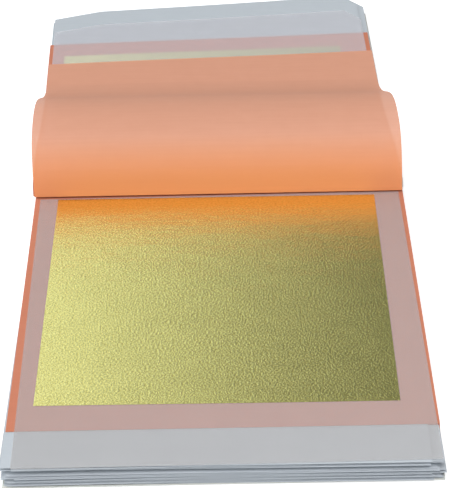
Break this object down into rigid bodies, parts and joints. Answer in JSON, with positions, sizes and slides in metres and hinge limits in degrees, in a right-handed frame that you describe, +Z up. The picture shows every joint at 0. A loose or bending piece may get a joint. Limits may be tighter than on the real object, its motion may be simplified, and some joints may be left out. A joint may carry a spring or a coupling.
{
  "type": "gold leaf booklet",
  "caption": "Open booklet of transfer gold leaf: bound rouge tissue pages with a loose white tissue and a square gold leaf between each pair.",
  "frame": {"origin": "on the table, below the middle of the crease where the booklet is open, on the underside of the back cover", "axes": "+X along the crease to the reader's right, +Y away from the reader, +Z up"},
  "size_m": [0.0945, 0.2094, 0.0209],
  "materials": {
    "rouge_tissue": "translucent matt tissue, rouged",
    "transfer_tissue": "translucent waxed tissue",
    "gold_leaf": "bright leaf with a fine wrinkle",
    "card": "matt white card",
    "spine_tape": "matt white paper tape",
    "thread": "waxed thread"
  },
  "bodies": {
    "near_half": {"back_cover": "card", "front_cover_stub": "card", "turned_page_stubs": "rouge_tissue", "binding_thread": "thread", "binding_tape": "spine_tape", "rouge_page_07": "rouge_tissue", "rouge_page_08": "rouge_tissue", "rouge_page_09": "rouge_tissue", "rouge_page_10": "rouge_tissue", "rouge_page_11": "rouge_tissue", "rouge_page_12": "rouge_tissue", "rouge_pages_13_to_26": "rouge_tissue", "transfer_tissues_11_to_25": "transfer_tissue", "gold_leaves_11_to_25": "gold_leaf"},
    "turned_half": {"front_cover": "card", "rouge_page_01": "rouge_tissue", "rouge_page_02": "rouge_tissue", "rouge_page_03": "rouge_tissue", "rouge_page_04": "rouge_tissue", "rouge_page_05": "rouge_tissue", "transfer_tissue_01": "transfer_tissue", "transfer_tissue_02": "transfer_tissue", "transfer_tissue_03": "transfer_tissue", "transfer_tissue_04": "transfer_tissue", "transfer_tissue_05": "transfer_tissue", "gold_leaf_01": "gold_leaf", "gold_leaf_02": "gold_leaf", "gold_leaf_03": "gold_leaf", "gold_leaf_04": "gold_leaf", "gold_leaf_05": "gold_leaf"},
    "page_06_strip_01": {"rouge_page_06_strip_01": "rouge_tissue"},
    "page_06_strip_02": {"rouge_page_06_strip_02": "rouge_tissue"},
    "page_06_strip_03": {"rouge_page_06_strip_03": "rouge_tissue"},
    "page_06_strip_04": {"rouge_page_06_strip_04": "rouge_tissue"},
    "transfer_06": {"transfer_tissue_06": "transfer_tissue", "gold_leaf_06": "gold_leaf"},
    "transfer_07": {"transfer_tissue_07": "transfer_tissue", "gold_leaf_07": "gold_leaf"},
    "transfer_08": {"transfer_tissue_08": "transfer_tissue", "gold_leaf_08": "gold_leaf"},
    "transfer_09": {"transfer_tissue_09": "transfer_tissue", "gold_leaf_09": "gold_leaf"},
    "transfer_10": {"transfer_tissue_10": "transfer_tissue", "gold_leaf_10": "gold_leaf"}
  },
  "joints": [
    {"name": "turned_half_turn", "type": "hinge", "parent": "near_half", "child": "turned_half", "pos_m": [0, -0.0009, 0.0063], "axis": [1, 0, 0], "range_deg": [0, 100]},
    {"name": "page_turn", "type": "hinge", "parent": "turned_half", "child": "page_06_strip_01", "pos_m": [0, -0.0009, 0.0063], "axis": [-1, 0, 0], "range_deg": [-98, 0]},
    {"name": "page_bend_02", "type": "hinge", "parent": "page_06_strip_01", "child": "page_06_strip_02", "pos_m": [0, 0.00571, 0.01926], "axis": [-1, 0, 0], "range_deg": [-84.75, 0.2]},
    {"name": "page_bend_03", "type": "hinge", "parent": "page_06_strip_02", "child": "page_06_strip_03", "pos_m": [0, 0.02754, 0.01782], "axis": [-1, 0, 0], "range_deg": [-19.03, 0.2]},
    {"name": "page_bend_04", "type": "hinge", "parent": "page_06_strip_03", "child": "page_06_strip_04", "pos_m": [0, 0.05409, 0.00419], "axis": [-1, 0, 0], "range_deg": [-0.2, 24.8]},
    {"name": "transfer_06_slide", "type": "slide", "parent": "near_half", "child": "transfer_06", "axis": [0, -1, 0], "range_m": [0, 0.1]},
    {"name": "transfer_07_slide", "type": "slide", "parent": "near_half", "child": "transfer_07", "axis": [0, -1, 0], "range_m": [0, 0.1]},
    {"name": "transfer_08_slide", "type": "slide", "parent": "near_half", "child": "transfer_08", "axis": [0, -1, 0], "range_m": [0, 0.1]},
    {"name": "transfer_09_slide", "type": "slide", "parent": "near_half", "child": "transfer_09", "axis": [0, -1, 0], "range_m": [0, 0.1]},
    {"name": "transfer_10_slide", "type": "slide", "parent": "near_half", "child": "transfer_10", "axis": [0, -1, 0], "range_m": [0, 0.1]}
  ],
  "couplings": [
    {"joint": "page_bend_02", "follows": "page_turn", "ratio": 0.86274},
    {"joint": "page_bend_03", "follows": "page_turn", "ratio": 0.19216},
    {"joint": "page_bend_04", "follows": "page_turn", "ratio": -0.25098}
  ]
}
